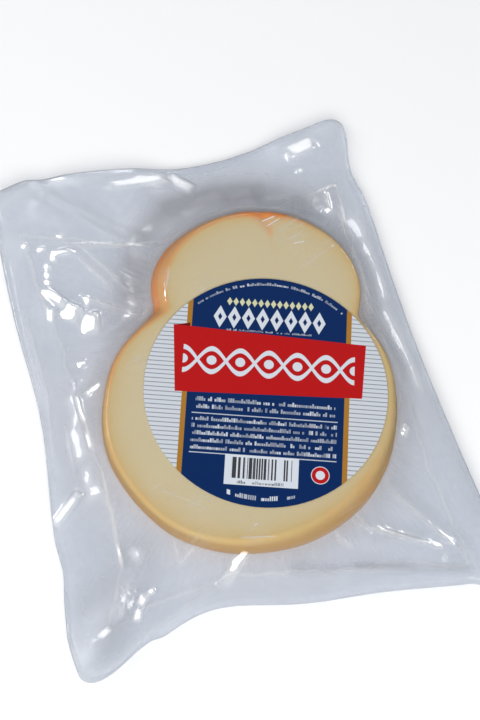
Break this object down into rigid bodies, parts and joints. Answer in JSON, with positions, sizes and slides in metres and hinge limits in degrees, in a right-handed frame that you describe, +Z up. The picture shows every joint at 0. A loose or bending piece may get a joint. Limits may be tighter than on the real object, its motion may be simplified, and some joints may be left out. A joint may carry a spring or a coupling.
{
  "type": "smoked cheese half in a clear vacuum pouch",
  "caption": "Half of a gourd-shaped smoked cheese, cut face up, sealed in a clear flat pouch with a round paper label on the cut face.",
  "frame": {"origin": "under the middle of the pack's box, on the surface that the pack lies on", "axes": "+Z up, out of the cut face; +Y towards the pouch's wide top seal and the cheese's head; +X to the right, seen from above"},
  "size_m": [0.1822, 0.2248, 0.0166],
  "materials": {
    "cheese": null,
    "film": "clear glossy vacuum film, wrinkled near the cheese, with a finely embossed seal band",
    "label_paper": "coated paper, printed blue, red, gold and white"
  },
  "bodies": {
    "root": {"cheese": "cheese", "pouch": "film", "label": "label_paper"}
  },
  "joints": []
}
